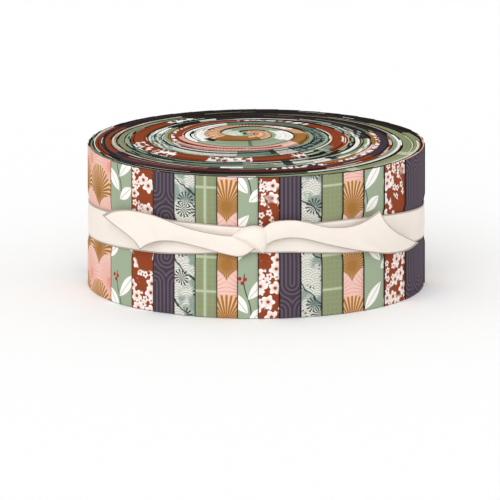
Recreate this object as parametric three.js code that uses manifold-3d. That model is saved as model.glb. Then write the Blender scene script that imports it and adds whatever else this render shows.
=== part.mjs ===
// A roll of precut quilting strips, standing on its edge-wound underside and
// tied round the middle with a flat cotton ribbon. Millimetres, +Z up.
// The origin is the middle of the flat underside. The front is towards -Y.

import * as THREE from 'three';
import Module from 'manifold-3d';

const wasm = await Module();
wasm.setup();

// Driving sizes of the roll
const STRIP_WIDTH = 63.5;      // cut width of every strip, which is the height of the roll
const ROLL_RADIUS = 74.9;
const STACK_PITCH = 17.6;      // the whole stack of strips, once round
const LAP_STEP = 0.44;         // one layer of cloth, seen at each strip's outer end
const CORE_X = -4.8;           // the winding starts behind the middle of the disc,
const CORE_Y = 27.0;           // so the turns lie close at the back and loose in front
const CORE_START = 2.7;        // winding radius of the stack's inner face, on the right
const WAIST_DEPTH = 1.0;       // how far the ribbon draws the outer turns in
const WAIST_FADE = 3.5;        // height over which the waist fades above and below it

// Relief of the wound top
const MAIN_GROOVE = 1.1;
const SMALL_GROOVE = 0.8;
const GROOVE_HALF = 0.5;       // from the bottom of a groove to the edge of its band
const RIPPLE = 0.15;           // the strips' edges don't lie quite level
const RIPPLES_A_TURN = 3;
const CORE_DROP = 0.9;
const CORE_EDGE = 0.6;         // nearer the middle than this, all bands end in one point
const INNER_TURNS = 2;         // turns before the right-hand start that the tables allow for
const OUTER_TURNS = 5;

// The ribbon
const RIBBON_GAP = 0.5;        // from the bottom of the waist to the ribbon
const RIBBON_THICKNESS = 1.0;
const RIBBON_STEP = 7.5;       // degrees from one section of the loop to the next
const TAIL_SPLITS = 2;         // sections made between two rows of a tail
const TAIL_COLUMNS = 6;
const KNOT_CROWN = 4.4;        // off the wall of the roll, as are the tails' lifts
const KNOT_EDGE = 1.8;
const KNOT_POINTS = 7;         // points along each curve of the knot's outline
const KNOT_RINGS = [1, 0.85, 0.6, 0.3];

// Bands of the stack from its inner to its outer face: share of the pitch, how far
// the band lies below the rim, and the groove on the band's inner side
const BANDS = [
  { share: 0.36, drop: 0.15, groove: MAIN_GROOVE, deepens: false },
  { share: 0.083, drop: 0.5, groove: SMALL_GROOVE, deepens: true },
  { share: 0.16, drop: 0.25, groove: MAIN_GROOVE, deepens: false },
  { share: 0.20, drop: 0.55, groove: SMALL_GROOVE, deepens: true },
  { share: 0.197, drop: 0.3, groove: SMALL_GROOVE, deepens: true },
];

// Width in degrees of what shows of each strip's outer end, clockwise from above,
// from the right side over the front to the left side
const FRONT_ENDS = [
  28.3, 12.7, 9.7, 8.7, 8.0, 7.5, 7.4, 7.2, 7.0, 7.1, 7.7, 7.8, 8.5, 9.8, 11.9, 30.7,
];
const BACK_END_COUNT = 24;     // with the 16 ends in front: 40 strips
const WIDEST_FACET = 10.4;     // degrees

// The loop: degrees from the front, positive to the right, and its two edges
const LOOP = [
  { at: -180, low: 20.6, high: 36.2 },
  { at: -120, low: 21.4, high: 36.8 },
  { at: -85, low: 23.1, high: 38.3 },
  { at: -60, low: 24.8, high: 40.2 },
  { at: -35, low: 26.5, high: 41.2 },
  { at: -14, low: 29.0, high: 41.9 },
  { at: 0, low: 29.6, high: 41.6 },
  { at: 14, low: 29.4, high: 41.6 },
  { at: 30, low: 26.8, high: 42.0 },
  { at: 56, low: 25.2, high: 40.4 },
  { at: 90, low: 22.0, high: 37.2 },
  { at: 120, low: 21.2, high: 36.7 },
  { at: 180, low: 20.6, high: 36.2 },
];

// The tails, a row for each section from the knot to the cut end. lowAt and highAt are
// the degrees at which the lower and the upper edge lie, lift is the height off the wall
// of the middle, and bow is how far the middle of the section lies towards the knot
const LEFT_TAIL = [
  { lowAt: -0.5, low: 32.0, highAt: -2.9, high: 38.0, lift: 1.6, bow: 0 },
  { lowAt: -4.4, low: 28.6, highAt: -8.2, high: 37.7, lift: 2.0, bow: 0 },
  { lowAt: -8.7, low: 28.8, highAt: -13.0, high: 38.0, lift: 2.0, bow: 0 },
  { lowAt: -17.5, low: 31.3, highAt: -23.0, high: 39.8, lift: 1.5, bow: 0 },
  { lowAt: -26.2, low: 33.0, highAt: -32.0, high: 42.7, lift: 1.5, bow: 0 },
  { lowAt: -31.0, low: 32.9, highAt: -37.7, high: 44.1, lift: 1.8, bow: 0 },
  { lowAt: -33.7, low: 32.3, highAt: -45.5, high: 44.5, lift: 2.3, bow: 0.6 },
  { lowAt: -36.1, low: 31.3, highAt: -51.0, high: 43.5, lift: 2.9, bow: 1.7 },
  { lowAt: -38.4, low: 29.9, highAt: -55.9, high: 41.8, lift: 3.5, bow: 3.6 },
  { lowAt: -41.0, low: 27.6, highAt: -60.2, high: 39.0, lift: 4.2, bow: 5.4 },
];
const RIGHT_TAIL = [
  { lowAt: 1.5, low: 33.3, highAt: 0.5, high: 39.0, lift: 1.6, bow: 0 },
  { lowAt: 3.1, low: 33.5, highAt: 2.9, high: 42.0, lift: 2.2, bow: 0 },
  { lowAt: 6.3, low: 35.7, highAt: 5.8, high: 44.2, lift: 2.5, bow: 0 },
  { lowAt: 11.6, low: 36.5, highAt: 11.6, high: 44.5, lift: 2.2, bow: 0 },
  { lowAt: 17.0, low: 35.3, highAt: 16.5, high: 43.3, lift: 1.7, bow: 0 },
  { lowAt: 25.3, low: 31.9, highAt: 23.8, high: 40.4, lift: 1.5, bow: 0 },
  { lowAt: 34.2, low: 28.5, highAt: 30.0, high: 39.5, lift: 1.8, bow: 0 },
  { lowAt: 42.2, low: 26.0, highAt: 35.1, high: 40.1, lift: 2.3, bow: -0.8 },
  { lowAt: 49.9, low: 24.0, highAt: 38.6, high: 41.6, lift: 2.9, bow: -2.0 },
  { lowAt: 59.2, low: 23.4, highAt: 41.6, high: 43.4, lift: 3.5, bow: -3.8 },
  { lowAt: 66.0, low: 25.1, highAt: 43.9, high: 45.1, lift: 4.2, bow: -5.4 },
];
const EDGE_LIFT = 0.7;         // share of a section's lift at its two edges, so it arches

// Outline of the knot in degrees from the front and height: its four corners, its
// middle, and the points that three of its sides are drawn towards
const KNOT = {
  left: { at: -8.0, z: 37.5 },
  top: { at: -1.0, z: 42.0 },
  right: { at: 3.6, z: 38.4 },
  bottom: { at: 2.0, z: 29.9 },
  middle: { at: -1.3, z: 36.8 },
  leftFoot: { at: -2.6, z: 34.0 },
  rightFoot: { at: 3.9, z: 32.0 },
  leftShoulder: { at: -4.5, z: 41.8 },
};

const FULL_TURN = 360;
const FRONT_DEGREES = 90;      // the front lies a quarter turn clockwise from the right
const RIM_RADIUS = ROLL_RADIUS - LAP_STEP;
const LOOP_LIFT = RIBBON_GAP - WAIST_DEPTH;
const KNOT_SEAT = LOOP_LIFT + RIBBON_THICKNESS / 2;

const rollMaterial = new THREE.MeshStandardMaterial({ color: 0x93633f, roughness: 0.9, metalness: 0 });
const ribbonMaterial = new THREE.MeshStandardMaterial({ color: 0xf4eae0, roughness: 0.85, metalness: 0 });

// A closed mesh that is being put together from points and faces
class Solid {
  constructor() {
    this.points = [];
    this.faces = [];
  }

  point(x, y, z) {
    this.points.push(x, y, z);
    return this.points.length / 3 - 1;
  }

  triangle(a, b, c) {
    if (a !== b && b !== c && c !== a) this.faces.push(a, b, c);
  }

  quad(a, b, c, d) {
    this.triangle(a, b, c);
    this.triangle(a, c, d);
  }

  geometry() {
    const geometry = new THREE.BufferGeometry();
    geometry.setAttribute('position', new THREE.Float32BufferAttribute(this.points, 3));
    geometry.setIndex(this.faces);
    geometry.computeVertexNormals();
    return geometry;
  }
}

// The winding

// Where the winding coordinate lies on the disc: turns count clockwise from the right,
// and the circles' middles move from the core to the disc's middle as they grow
function windingPoint(turn, radius) {
  const angle = turn * 2 * Math.PI;
  const offset = 1 - radius / RIM_RADIUS;
  return {
    x: CORE_X * offset + radius * Math.cos(angle),
    y: CORE_Y * offset - radius * Math.sin(angle),
  };
}

// The curves that one ray crosses in one turn: a groove and two shoulders for each band
function bandCurves() {
  const curves = [];
  let share = 0;
  for (const band of BANDS) {
    const inner = share * STACK_PITCH;
    share += band.share;
    const outer = share * STACK_PITCH;
    curves.push({ band, offset: inner, isGroove: true });
    curves.push({ band, offset: inner + GROOVE_HALF, isGroove: false });
    curves.push({ band, offset: outer - GROOVE_HALF, isGroove: false });
  }
  return curves;
}

// Height of a point on a curve; the small grooves only deepen after the first turn
function curveHeight(curve, turn, radius) {
  const phase = BANDS.indexOf(curve.band) / BANDS.length;
  const ripple = RIPPLE * Math.sin(2 * Math.PI * (RIPPLES_A_TURN * turn + phase));
  const level = STRIP_WIDTH - curve.band.drop + ripple;
  if (!curve.isGroove) return level;
  const deepening = THREE.MathUtils.smoothstep(radius, STACK_PITCH, 2 * STACK_PITCH);
  return level - curve.band.groove * (curve.band.deepens ? deepening : 1);
}

// A value of a table between its rows, by the column that orders them
function between(table, key, at, column) {
  const upper = Math.max(table.findIndex((row) => row[key] >= at), 1);
  const high = table[upper];
  const low = table[upper - 1];
  return THREE.MathUtils.mapLinear(at, low[key], high[key], low[column], high[column]);
}

// Heights on the wall and how far it is drawn in there, from the base to the top
function wallLevels(turn) {
  const degrees = FRONT_DEGREES - FULL_TURN * turn;
  const at = degrees < -FULL_TURN / 2 ? degrees + FULL_TURN : degrees;
  const low = between(LOOP, 'at', at, 'low');
  const high = between(LOOP, 'at', at, 'high');
  return [
    { z: 0, dip: 0 },
    { z: low - WAIST_FADE, dip: 0 },
    { z: low, dip: WAIST_DEPTH },
    { z: high, dip: WAIST_DEPTH },
    { z: high + WAIST_FADE, dip: 0 },
    { z: STRIP_WIDTH, dip: 0 },
  ];
}

// The rays of the mesh run through the strips' outer ends, with more on the wide ones
function rollRays() {
  const backWidth = (FULL_TURN / 2) / BACK_END_COUNT;
  const ends = [...FRONT_ENDS, ...Array(BACK_END_COUNT).fill(backWidth)];
  const total = ends.reduce((sum, width) => sum + width, 0);
  const rays = [];
  let start = 0;
  for (const width of ends) {
    const steps = Math.ceil(width / WIDEST_FACET);
    for (let step = 0; step < steps; step += 1) {
      rays.push({
        turn: (start + (width * step) / steps) / total,
        rise: step / steps,
        riseAfter: (step + 1) / steps,
      });
    }
    start += width;
  }
  return rays;
}

function buildRoll() {
  const solid = new Solid();
  const rays = rollRays();
  const curves = bandCurves();
  const count = rays.length;
  const core = windingPoint(0, 0);
  const coreTop = solid.point(core.x, core.y, STRIP_WIDTH - CORE_DROP);
  const coreBase = solid.point(0, 0, 0);

  // Inner ring of the rim, at the top and at the base
  const rimPoint = (turn, radius, z) => {
    const { x, y } = windingPoint(turn, RIM_RADIUS);
    const scale = radius / RIM_RADIUS;
    return solid.point(x * scale, y * scale, z);
  };
  const inner = rays.map((ray) => ({
    top: rimPoint(ray.turn, RIM_RADIUS, STRIP_WIDTH),
    base: rimPoint(ray.turn, RIM_RADIUS, 0),
  }));

  // The wall's points over one another on a ray, so far up the rise of a strip
  const wallColumn = (k, rise) => {
    const { turn } = rays[k];
    const levels = wallLevels(turn);
    const radius = RIM_RADIUS + LAP_STEP * rise;
    return levels.map(({ z, dip }, i) => {
      if (rise === 0 && i === 0) return inner[k].base;
      if (rise === 0 && i === levels.length - 1) return inner[k].top;
      return rimPoint(turn, radius - dip, z);
    });
  };

  // Each strip rises over the one below it by a layer, and ends in a step
  const columnStart = rays.map((ray, k) => wallColumn(k, ray.rise));
  const columnEnd = rays.map((ray, k) => {
    const next = (k + 1) % count;
    return rays[next].rise === 0 ? wallColumn(next, ray.riseAfter) : columnStart[next];
  });

  // The wound top, a vertex where each curve crosses each ray
  const cache = new Map();
  const topPoint = (ray, number) => {
    if (ray === count) return topPoint(0, number + curves.length);
    const curve = curves[number % curves.length];
    const lap = Math.floor(number / curves.length) - INNER_TURNS;
    const turn = rays[ray].turn + lap;
    const radius = CORE_START + STACK_PITCH * turn + curve.offset;
    if (radius < CORE_EDGE) return coreTop;
    if (radius > RIM_RADIUS - GROOVE_HALF / 2) return inner[ray].top;
    const key = `${ray}:${number}`;
    if (!cache.has(key)) {
      const { x, y } = windingPoint(turn, radius);
      cache.set(key, solid.point(x, y, curveHeight(curve, turn, radius)));
    }
    return cache.get(key);
  };
  const rows = (INNER_TURNS + OUTER_TURNS) * curves.length;
  for (let k = 0; k < count; k += 1) {
    for (let row = 0; row < rows; row += 1) {
      solid.quad(
        topPoint(k, row),
        topPoint(k + 1, row),
        topPoint(k + 1, row + 1),
        topPoint(k, row + 1),
      );
    }
  }

  // Rim, wall, step and underside between one ray and the next
  for (let k = 0; k < count; k += 1) {
    const next = (k + 1) % count;
    const start = columnStart[k];
    const end = columnEnd[k];
    const top = start.length - 1;
    solid.quad(inner[k].top, inner[next].top, end[top], start[top]);
    solid.quad(inner[k].base, start[0], end[0], inner[next].base);
    solid.triangle(coreBase, inner[k].base, inner[next].base);
    for (let level = 0; level < top; level += 1) {
      solid.quad(start[level + 1], end[level + 1], end[level], start[level]);
      if (rays[next].rise === 0) {
        const under = columnStart[next];
        solid.quad(end[level + 1], under[level + 1], under[level], end[level]);
      }
    }
  }
  return solid.geometry();
}

// The ribbon

// A point at so many degrees from the front, a height, and a distance off the wall
function wallPoint(degrees, z, lift) {
  const angle = THREE.MathUtils.degToRad(degrees);
  const radius = ROLL_RADIUS + lift;
  return new THREE.Vector3(radius * Math.sin(angle), -radius * Math.cos(angle), z);
}

// A closed sheet between an inner and an outer grid of points, round the roll or open
function sheetBetween(innerGrid, outerGrid, closed) {
  const solid = new Solid();
  const place = (grid) => grid.map((row) => row.map((p) => solid.point(p.x, p.y, p.z)));
  const inner = place(innerGrid);
  const outer = place(outerGrid);
  const rows = inner.length;
  const last = inner[0].length - 1;
  const spans = closed ? rows : rows - 1;
  for (let i = 0; i < spans; i += 1) {
    const next = (i + 1) % rows;
    for (let j = 0; j < last; j += 1) {
      solid.quad(outer[i][j], outer[next][j], outer[next][j + 1], outer[i][j + 1]);
      solid.quad(inner[i][j], inner[i][j + 1], inner[next][j + 1], inner[next][j]);
    }
    solid.quad(outer[i][0], inner[i][0], inner[next][0], outer[next][0]);
    solid.quad(outer[i][last], outer[next][last], inner[next][last], inner[i][last]);
  }
  if (!closed) {
    for (let j = 0; j < last; j += 1) {
      solid.quad(outer[0][j], outer[0][j + 1], inner[0][j + 1], inner[0][j]);
      solid.quad(outer[rows - 1][j], inner[rows - 1][j], inner[rows - 1][j + 1], outer[rows - 1][j + 1]);
    }
  }
  return solid.geometry();
}

function buildLoop() {
  const innerGrid = [];
  const outerGrid = [];
  for (let at = -FULL_TURN / 2; at < FULL_TURN / 2; at += RIBBON_STEP) {
    const low = between(LOOP, 'at', at, 'low');
    const high = between(LOOP, 'at', at, 'high');
    const edges = [low, high];
    innerGrid.push(edges.map((z) => wallPoint(at, z, LOOP_LIFT)));
    outerGrid.push(edges.map((z) => wallPoint(at, z, LOOP_LIFT + RIBBON_THICKNESS)));
  }
  return sheetBetween(innerGrid, outerGrid, true);
}

// A tail is lofted through its rows, each arched across and bowed along
function buildTail(table) {
  const columns = Object.keys(table[0]);
  const curves = columns.map((column) => new THREE.CatmullRomCurve3(
    table.map((row, i) => new THREE.Vector3(i, row[column], 0)),
  ));
  const innerGrid = [];
  const outerGrid = [];
  const sections = (table.length - 1) * TAIL_SPLITS;
  for (let i = 0; i <= sections; i += 1) {
    const row = {};
    columns.forEach((column, c) => {
      row[column] = curves[c].getPoint(i / sections).y;
    });
    const innerRow = [];
    const outerRow = [];
    for (let j = 0; j <= TAIL_COLUMNS; j += 1) {
      const across = j / TAIL_COLUMNS;
      const arch = Math.sin(Math.PI * across);
      const at = THREE.MathUtils.lerp(row.lowAt, row.highAt, across) + row.bow * arch;
      const z = THREE.MathUtils.lerp(row.low, row.high, across);
      const lift = row.lift * THREE.MathUtils.lerp(EDGE_LIFT, 1, arch);
      innerRow.push(wallPoint(at, z, lift));
      outerRow.push(wallPoint(at, z, lift + RIBBON_THICKNESS));
    }
    innerGrid.push(innerRow);
    outerGrid.push(outerRow);
  }
  const goesRight = table[table.length - 1].lowAt > 0;
  return goesRight
    ? sheetBetween(innerGrid, outerGrid, false)
    : sheetBetween(innerGrid.reverse(), outerGrid.reverse(), false);
}

// The knot is a cushion over a rounded triangle, flat where it lies on the wall
function buildKnot() {
  const { left, top, right, bottom, middle, leftFoot, rightFoot, leftShoulder } = KNOT;
  const shape = new THREE.Shape();
  shape.moveTo(left.at, left.z);
  shape.quadraticCurveTo(leftFoot.at, leftFoot.z, bottom.at, bottom.z);
  shape.quadraticCurveTo(rightFoot.at, rightFoot.z, right.at, right.z);
  shape.quadraticCurveTo(right.at, top.z, top.at, top.z);
  shape.quadraticCurveTo(leftShoulder.at, leftShoulder.z, left.at, left.z);
  const outline = shape.getPoints(KNOT_POINTS).slice(0, -1);
  const solid = new Solid();
  const place = (point, scale, lift) => {
    const at = THREE.MathUtils.lerp(middle.at, point.x, scale);
    const z = THREE.MathUtils.lerp(middle.z, point.y, scale);
    const p = wallPoint(at, z, lift);
    return solid.point(p.x, p.y, p.z);
  };
  const base = outline.map((point) => place(point, 1, KNOT_SEAT));
  const domes = KNOT_RINGS.map((scale) => outline.map((point) => {
    const lift = KNOT_EDGE + (KNOT_CROWN - KNOT_EDGE) * Math.sqrt(1 - scale * scale);
    return place(point, scale, lift);
  }));
  const crown = place(new THREE.Vector2(middle.at, middle.z), 0, KNOT_CROWN);
  const seat = place(new THREE.Vector2(middle.at, middle.z), 0, KNOT_SEAT);
  const levels = [base, ...domes];
  outline.forEach((point, i) => {
    const next = (i + 1) % outline.length;
    for (let level = 0; level + 1 < levels.length; level += 1) {
      const lower = levels[level];
      const upper = levels[level + 1];
      solid.quad(lower[i], lower[next], upper[next], upper[i]);
    }
    const inmost = levels[levels.length - 1];
    solid.triangle(inmost[i], inmost[next], crown);
    solid.triangle(base[next], base[i], seat);
  });
  return solid.geometry();
}

// Join closed geometries into one
function toManifold(geometry) {
  return new wasm.Manifold(new wasm.Mesh({
    numProp: 3,
    vertProperties: new Float32Array(geometry.attributes.position.array),
    triVerts: new Uint32Array(geometry.index.array),
  }));
}

function joined(geometries) {
  const solids = geometries.map(toManifold);
  const mesh = solids.reduce((sum, solid) => sum.add(solid)).getMesh();
  const geometry = new THREE.BufferGeometry();
  geometry.setAttribute('position', new THREE.BufferAttribute(mesh.vertProperties, 3));
  geometry.setIndex(new THREE.BufferAttribute(mesh.triVerts, 1));
  geometry.computeVertexNormals();
  return geometry;
}

function namedMesh(name, geometry, material) {
  const mesh = new THREE.Mesh(geometry, material);
  mesh.name = name;
  return mesh;
}

const roll = new THREE.Group();
roll.add(namedMesh('strip_roll', buildRoll(), rollMaterial));
roll.add(namedMesh(
  'ribbon_tie',
  joined([buildLoop(), buildTail(LEFT_TAIL), buildTail(RIGHT_TAIL), buildKnot()]),
  ribbonMaterial,
));

export default roll;
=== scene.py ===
# %% [markdown]
# # A roll of quilting strips, tied with ribbon
#
# Forty strips of printed cotton are laid in one stack and wound up edge upwards, like a
# cake. A flat ribbon holds the roll. The frame that is loaded here comes from the CAD
# model: it says how large the roll is and where it stands. Everything below is made in
# metres in that frame, but the tables are in millimetres, as a maker would measure.

# %% Load the frame
import math

import bpy
import numpy as np
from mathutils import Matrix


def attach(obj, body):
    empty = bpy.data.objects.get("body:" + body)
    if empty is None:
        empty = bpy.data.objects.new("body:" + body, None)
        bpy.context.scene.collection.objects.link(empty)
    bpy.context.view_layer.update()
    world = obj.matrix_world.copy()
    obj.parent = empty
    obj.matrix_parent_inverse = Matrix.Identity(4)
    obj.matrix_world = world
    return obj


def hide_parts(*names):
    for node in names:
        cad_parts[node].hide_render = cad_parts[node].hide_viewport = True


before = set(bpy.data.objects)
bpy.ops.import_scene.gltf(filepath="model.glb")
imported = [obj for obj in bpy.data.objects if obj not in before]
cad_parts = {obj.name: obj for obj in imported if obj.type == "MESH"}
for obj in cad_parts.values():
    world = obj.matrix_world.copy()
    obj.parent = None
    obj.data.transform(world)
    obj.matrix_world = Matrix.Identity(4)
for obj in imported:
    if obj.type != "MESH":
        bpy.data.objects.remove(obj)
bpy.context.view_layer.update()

MM = 0.001
print("nodes:", sorted(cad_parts))

# %% [markdown]
# The camera comes first, because it decides what has to be made well. The roll is seen
# almost without perspective, as through a long lens from far away, and from a little
# above. A lens of 1.3 m on a camera 8 m away gives that view.

# %% Camera
VIEW_ABOVE = math.radians(12.1)
VIEW_DISTANCE = 8.0
VIEW_WIDTH = 222.2 * MM
VIEW_MIDDLE = (-2.82 * MM, 0.0, 14.9 * MM)


def add_camera():
    bpy.ops.object.select_all(action="DESELECT")
    bpy.ops.object.camera_add(
        location=(
            VIEW_MIDDLE[0],
            VIEW_MIDDLE[1] - VIEW_DISTANCE * math.cos(VIEW_ABOVE),
            VIEW_MIDDLE[2] + VIEW_DISTANCE * math.sin(VIEW_ABOVE),
        ),
        rotation=(math.pi / 2 - VIEW_ABOVE, 0.0, 0.0),
    )
    camera = bpy.context.object
    camera.name = "long_lens"
    camera.data.lens = camera.data.sensor_width * VIEW_DISTANCE / VIEW_WIDTH
    bpy.context.scene.camera = camera
    return camera


camera = add_camera()
print("lens:", round(camera.data.lens), "mm")

# %% [markdown]
# ## The winding
#
# Every strip follows the same spiral, one layer of cloth outside the last. The spiral
# starts behind the middle of the disc, so its turns lie close at the back and loose in
# front. The middle turns are also pulled in a little on the right, while the rim stays
# round. Turns are counted clockwise from the right, seen from above: 0.25 is the front.

# %% Sizes of the roll, in millimetres
STRIP_WIDTH = 63.5
ROLL_RADIUS = 74.9
STRIPS = 40
LAYER = 0.44              # from one layer of cloth to the next
CLOTH = 0.40              # thickness of the cloth itself
PITCH = STRIPS * LAYER    # the whole stack, once round
CORE_X, CORE_Y = -4.8, 27.0
CORE_START = 2.7
RIM_RADIUS = ROLL_RADIUS - LAYER
FIRST_RADIUS = 1.2        # the strips begin this far from the core
STEPS_A_TURN = 72
PULL = 3.65               # the middle turns are pulled in this much on the right
PULL_TURN = 0.08          # and most a little in front of it
PULL_GROWS = (18, 38)     # radii between which the pull grows
PULL_FADES = (74, 58)     # and between which it fades, from the rim inwards


def smooth(value, low, high):
    """0 below low, 1 above high, and an even curve between them."""
    part = np.clip((value - low) / (high - low), 0, 1)
    return part * part * (3 - 2 * part)


def on_disc(turn, radius):
    """Where a radius of the winding lies on the disc."""
    offset = 1 - np.minimum(radius / RIM_RADIUS, 1)
    angle = 2 * np.pi * turn
    pull = np.clip(np.cos(angle - 2 * np.pi * PULL_TURN), 0, 1)
    reach = radius - PULL * pull * smooth(radius, *PULL_GROWS) * smooth(radius, *PULL_FADES)
    return CORE_X * offset + reach * np.cos(angle), CORE_Y * offset - reach * np.sin(angle)


print("one turn of the whole stack:", round(PITCH, 1), "mm")

# %% [markdown]
# The strips' outer ends show side by side on the wall of the roll, and each lies on the
# next one. The ends in front are not evenly spaced, so the layers there are pushed a
# little off the even spiral. This fades over the outermost turn.

# %% Where the strips end
FRONT_ENDS = [
    28.3, 12.7, 9.7, 8.7, 8.0, 7.5, 7.4, 7.2, 7.0, 7.1, 7.7, 7.8, 8.5, 9.8, 11.9, 30.7,
]
BACK_ENDS = [7.5] * 24
ENDS = np.concatenate([[0], np.cumsum(FRONT_ENDS + BACK_ENDS)]) / 360
EVEN_LEAD = 2.0           # layers by which the even spiral lags behind the wall
END_LINE = 0.0009         # the painted shade line at a cut end, in turns: 0.4 mm on the wall
END_CLEAR = 0.003         # the last even row keeps this far from the cut end, in turns


def layers_so_far(turn, depth):
    """How many layers the wall has gained by this turn, seen at a depth below the wall."""
    lap = np.floor(turn)
    at_wall = np.interp(turn - lap, ENDS, np.arange(STRIPS + 1)) + STRIPS * lap
    even = STRIPS * turn - EVEN_LEAD
    return even + (at_wall - even) * smooth(depth, PITCH, 0)


def strip_radius(strip, turn):
    """Radius of the outer face of strip 1 to 40 along its length."""
    depth = LAYER * (strip - (STRIPS * turn - EVEN_LEAD))
    return ROLL_RADIUS - LAYER * (strip - layers_so_far(turn, depth))


def strip_turns(strip):
    """The turns at which a strip has its points, from the core to its cut end."""
    last = ENDS[strip]
    first = (FIRST_RADIUS - ROLL_RADIUS + LAYER * (strip + EVEN_LEAD)) / PITCH
    inner = np.arange(math.ceil(first * STEPS_A_TURN), math.floor(last * STEPS_A_TURN) + 1)
    turns = inner / STEPS_A_TURN
    return np.append(turns[turns < last - END_CLEAR], [last - END_LINE, last])


def place_in_stack(strip):
    """Whole turns and share of the stack, so that turn + both counts on from the core."""
    total = (ROLL_RADIUS - LAYER * (strip + EVEN_LEAD + 0.5) - CORE_START) / PITCH
    return math.floor(total), total - math.floor(total)


print("strip 1 has", len(strip_turns(1)), "rows, strip 40 has", len(strip_turns(40)))

# %% [markdown]
# The upper edges of the strips don't lie level. The stack falls into bands with a narrow
# groove between them, where a few strips have slipped down. The ribbon draws the wall
# in, most at the outside, and the dent fades within a few layers.

# %% Heights of the edges and the waist under the ribbon
BAND_WIDTHS, BAND_DROPS, GROOVES, GROOVE_STARTS = zip(
    # share of the stack, drop below the rim, groove on its inner side, where that begins
    (0.36, 0.15, 1.7, 2),
    (0.083, 0.5, 1.3, 24),
    (0.16, 0.25, 1.7, 2),
    (0.20, 0.55, 1.3, 24),
    (0.197, 0.3, 1.3, 24),
)
BAND_EDGES = np.cumsum((0,) + BAND_WIDTHS)
GROOVE_GROWS = 8          # a groove reaches its depth over this much radius
RIM_MARGIN = 0.15         # the edges stand this far below the full width, to be uneven in
RIPPLE = 0.15
CORE_DROP, CORE_REACH = 0.9, 9
WAIST = 0.8
WAIST_FADE = 3.5
LOOP = np.array([
    # degrees from the front, lower edge, upper edge
    (-180, 20.6, 36.2), (-120, 21.4, 36.8), (-85, 23.1, 38.3), (-60, 24.8, 40.2),
    (-47, 25.8, 41.4), (-34, 26.5, 42.3), (-21, 27.9, 42.1), (-14, 29.0, 41.7),
    (0, 29.6, 41.1), (12, 29.4, 41.6), (24, 27.9, 42.3), (34, 26.7, 42.3),
    (44, 26.0, 41.7), (56, 25.2, 40.4), (84, 22.6, 37.2), (120, 21.2, 36.7),
    (180, 20.6, 36.2),
])


def loop_edges(degrees):
    """Heights of the ribbon's two edges, so many degrees to the right of the front."""
    at = (degrees + 180) % 360 - 180
    return np.interp(at, LOOP[:, 0], LOOP[:, 1]), np.interp(at, LOOP[:, 0], LOOP[:, 2])


def off_rim(radius):
    """0 at the rim, where the edges lie level, and 1 from a few layers in."""
    return smooth(ROLL_RADIUS - radius, 0.4, 3.0)


def layers_off_grooves(share):
    """How many layers of cloth lie between a strip and the grooves, one number for each."""
    return np.abs((share - BAND_EDGES[:-1] + 0.5) % 1 - 0.5) * STRIPS


def groove_depth(share, radius):
    """How far a strip has slipped down, if it is the one between two bands."""
    depth = 0.0 * radius
    for off, groove, begins in zip(layers_off_grooves(share), GROOVES, GROOVE_STARTS):
        if off <= 0.5:
            depth = groove * smooth(radius, begins, begins + GROOVE_GROWS)
    return depth * off_rim(radius)


def edge_height(share, winding_turn, radius):
    """Height of a strip's upper edge."""
    band = min(np.searchsorted(BAND_EDGES, share, "right"), len(BAND_DROPS)) - 1
    ripple = RIPPLE * np.sin(2 * np.pi * (3 * winding_turn + share))
    level = (BAND_DROPS[band] - ripple) * off_rim(radius)
    core = CORE_DROP * (1 - smooth(radius, 0, CORE_REACH))
    return STRIP_WIDTH - RIM_MARGIN - level - core - groove_depth(share, radius)


print("ribbon loop:", round(min(LOOP[:, 1]), 1), "to", round(max(LOOP[:, 2]), 1), "mm up")

# %% [markdown]
# ## Colours of the cut edges
#
# From above only the cut edges of the strips show. Each strip's print runs along it, so
# the colour of an edge changes every few centimetres, and neighbours from the same cloth
# form a broad band. The table below says what lies where: it goes from the core to the
# rim, once for the inner part of the stack and once for the outer part.
#
# Where little light gets in, shade is painted on as the ink dye: on the strips between two
# bands, on the line inside the rim and on the cut ends. Where a band is of fine lines, short
# dashes of other dyes are strewn along the strips, as where the shears went through small
# figures.

# %% Dyes


def dye(red, green, blue):
    """A colour from 0 to 255 as on a screen, turned into the light that Blender adds up."""
    def linear(part):
        part = part / 255
        return part / 12.92 if part < 0.04 else ((part + 0.055) / 1.055) ** 2.4
    return (linear(red), linear(green), linear(blue), 1.0)


DYES = {
    "white": dye(249, 247, 242), "cream": dye(244, 234, 224), "sage": dye(160, 174, 148),
    "moss": dye(112, 128, 104), "teal": dye(126, 148, 138), "deep_teal": dye(58, 70, 68),
    "ink": dye(40, 37, 35), "peach": dye(238, 192, 158), "pink": dye(238, 198, 186),
    "coral": dye(232, 158, 144), "tan": dye(166, 116, 58), "rust": dye(146, 68, 38),
    "wine": dye(98, 40, 34), "plum": dye(70, 60, 70), "mauve": dye(99, 87, 100),
    "olive": dye(145, 151, 113), "pale_olive": dye(190, 202, 172), "grey": dye(186, 184, 174),
    "shell": dye(224, 224, 214), "brown": dye(56, 42, 38), "berry": dye(172, 48, 44),
}
print("dyes:", len(DYES))

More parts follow.
